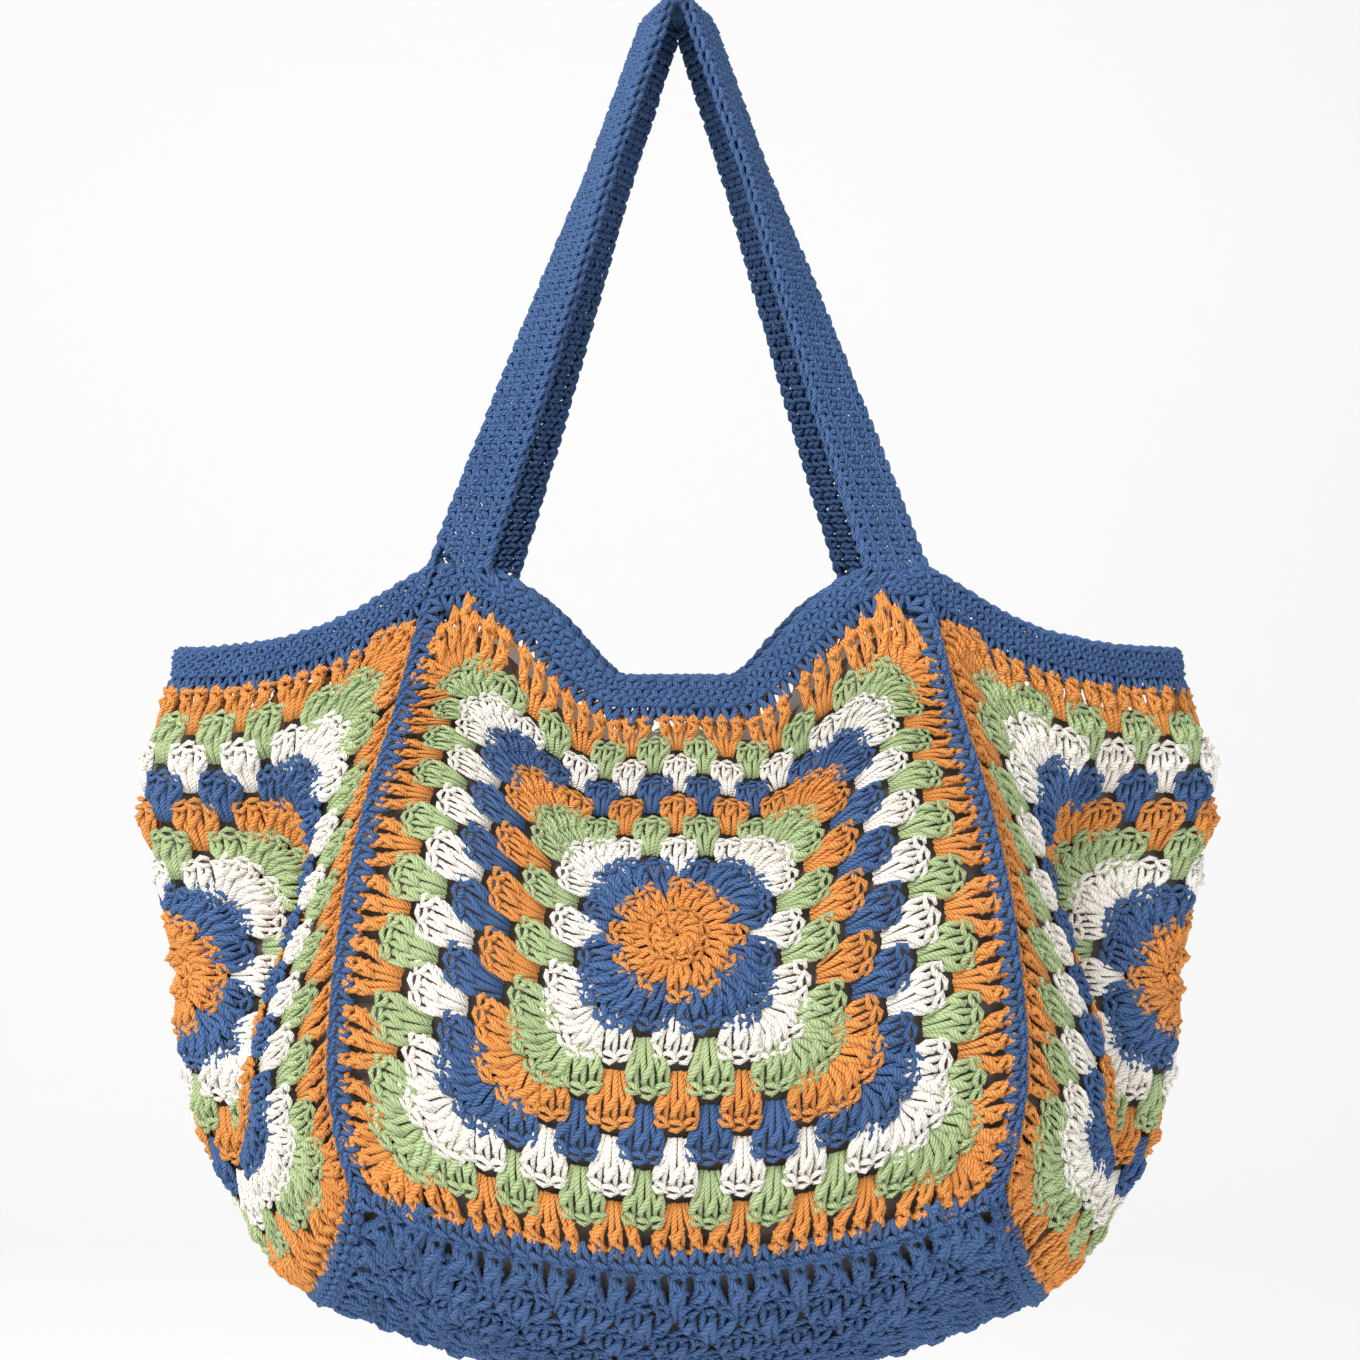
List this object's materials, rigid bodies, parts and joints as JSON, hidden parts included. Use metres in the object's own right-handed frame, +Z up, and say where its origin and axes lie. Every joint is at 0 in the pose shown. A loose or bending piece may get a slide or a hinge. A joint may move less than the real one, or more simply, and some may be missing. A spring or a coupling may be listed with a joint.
{
  "type": "crochet tote bag",
  "caption": "Box-shaped crochet tote with granny-square walls, a blue base, raised seams, a rim and two flat handles, hanging from a hook",
  "frame": {"origin": "the point the handles hang from, on the inside of their top bend, in the bag's middle planes", "axes": "+Z up, +X to the bag's right seen from the front, +Y from the front to the back"},
  "size_m": [0.4744, 0.2524, 0.5996],
  "materials": {
    "granny_square": "plied cotton yarn, matte, in rounds of orange, blue, cream and sage green",
    "blue_yarn": "plied cotton yarn, matte, crocheted",
    "lining_cloth": "thin plain-weave cotton, matte"
  },
  "bodies": {
    "root": {"panel_front": "granny_square", "panel_back": "granny_square", "panel_left": "granny_square", "panel_right": "granny_square", "base_panel": "blue_yarn", "seam_front_left": "blue_yarn", "seam_front_right": "blue_yarn", "seam_back_left": "blue_yarn", "seam_back_right": "blue_yarn", "base_seam": "blue_yarn", "rim": "blue_yarn", "handle_front": "blue_yarn", "handle_back": "blue_yarn", "lining": "lining_cloth"}
  },
  "joints": []
}
